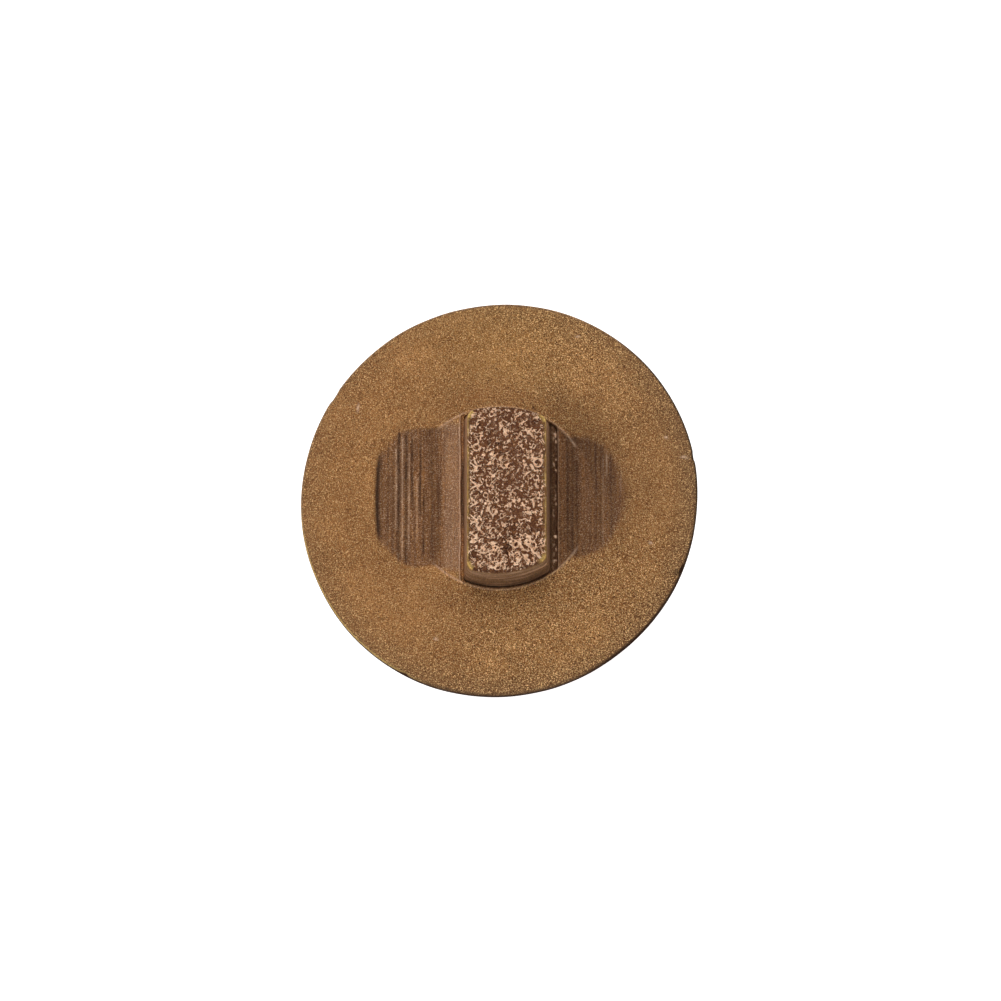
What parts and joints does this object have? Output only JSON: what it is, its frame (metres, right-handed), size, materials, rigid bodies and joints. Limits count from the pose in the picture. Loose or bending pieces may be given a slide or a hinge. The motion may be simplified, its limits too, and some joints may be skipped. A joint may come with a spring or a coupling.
{
  "type": "thru-hull fitting with plug",
  "caption": "Bronze through-hull fitting: flanged threaded tube with hull nut, washers and gaskets, closed by a domed screw-in plug with a two-flat wrench tang.",
  "frame": {"origin": "centre of the base, on the stem's axis at its inboard end", "axes": "+Z along the stem towards the outboard face, +X across the flats of the tang towards the shallow pocket, +Y along the tang"},
  "size_m": [0.0636, 0.0636, 0.0744],
  "materials": {
    "cast_bronze": "as cast, dull brown with bare edges",
    "turned_bronze": "machined, slightly tarnished",
    "rubber": "matt",
    "nylon": "natural nylon, satin"
  },
  "bodies": {
    "fixed_body": {"thru_hull_body": "turned_bronze", "hull_gasket": "rubber"},
    "washer_stack": {"inner_gasket": "rubber", "backing_washer": "cast_bronze", "slip_washer": "nylon"},
    "nut": {"hull_nut": "turned_bronze"},
    "plug_seal": {"plug_gasket": "rubber"},
    "plug": {"drain_plug": "cast_bronze"}
  },
  "joints": [
    {"name": "nut_travel", "type": "slide", "parent": "fixed_body", "child": "washer_stack", "axis": [0, 0, -1], "range_m": [0, 0.01815]},
    {"name": "nut_turn", "type": "hinge", "parent": "washer_stack", "child": "nut", "pos_m": [0, 0, 0.0244], "axis": [0, 0, 1], "range_deg": [0, 3600]},
    {"name": "plug_travel", "type": "slide", "parent": "fixed_body", "child": "plug_seal", "axis": [0, 0, 1], "range_m": [0, 0.01407]},
    {"name": "plug_turn", "type": "hinge", "parent": "plug_seal", "child": "plug", "pos_m": [0, 0, 0.0626], "axis": [0, 0, 1], "range_deg": [0, 2790]}
  ],
  "couplings": [
    {"joint": "nut_travel", "follows": "nut_turn", "m_per_rad": 0.00028871},
    {"joint": "plug_travel", "follows": "plug_turn", "m_per_rad": 0.00028871}
  ]
}
